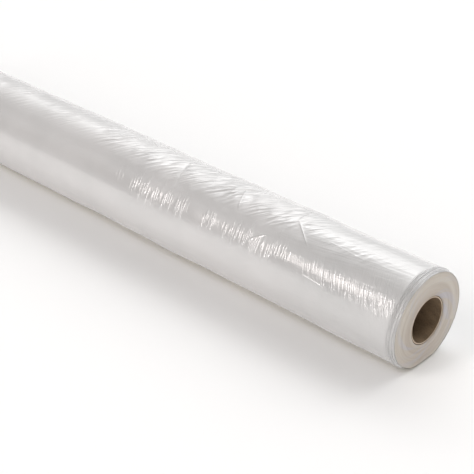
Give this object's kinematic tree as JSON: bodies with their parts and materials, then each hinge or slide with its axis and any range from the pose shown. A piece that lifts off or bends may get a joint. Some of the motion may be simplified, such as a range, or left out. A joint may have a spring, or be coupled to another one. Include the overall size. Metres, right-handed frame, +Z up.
{
  "type": "roll of plastic sheeting",
  "caption": "Roll of clear plastic sheeting wound on a paperboard core, lying on the flat spot that its weight presses.",
  "frame": {"origin": "on the floor under the middle of the roll", "axes": "+X along the roll, +Z up from the floor it lies on, +Y to the back, where the free end of the sheet is"},
  "size_m": [1.5014, 0.176, 0.1642],
  "materials": {
    "film": "clear glossy film, milky where many turns lie on each other",
    "core": "brown paperboard, spirally wound, matt"
  },
  "bodies": {
    "root": {"film_roll": "film", "core_tube": "core"}
  },
  "joints": []
}
